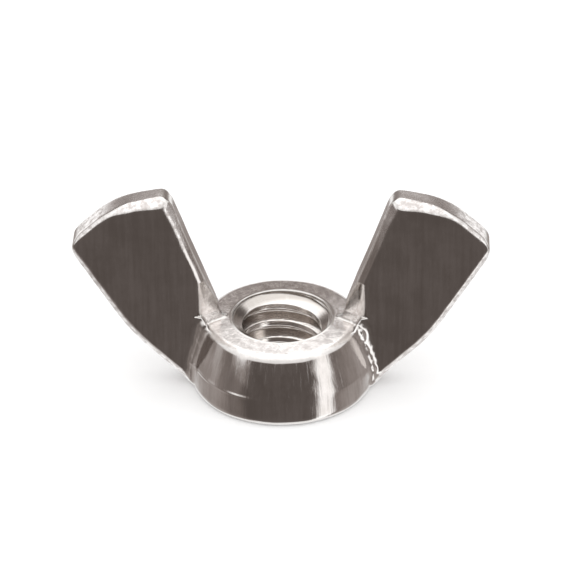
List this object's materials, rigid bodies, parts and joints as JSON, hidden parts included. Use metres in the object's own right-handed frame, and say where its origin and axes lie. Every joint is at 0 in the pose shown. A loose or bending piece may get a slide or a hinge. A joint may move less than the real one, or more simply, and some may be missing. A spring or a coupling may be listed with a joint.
{
  "type": "wing nut",
  "caption": "One-piece forged wing nut: two flat upswept wings on a flared round boss with a right-hand threaded bore and a flat bearing base.",
  "frame": {"origin": "centre of the flat bearing face, on the thread's axis", "axes": "+Z along the thread's axis, up to the wing tops; the wings lie along X, flat on the XZ plane"},
  "size_m": [0.0264, 0.0116, 0.0136],
  "materials": {
    "stainless_steel": "bare cold-forged stainless steel, satin, with fine drawing lines on the boss and wing faces"
  },
  "bodies": {
    "root": {"wing_nut_body": "stainless_steel"}
  },
  "joints": []
}
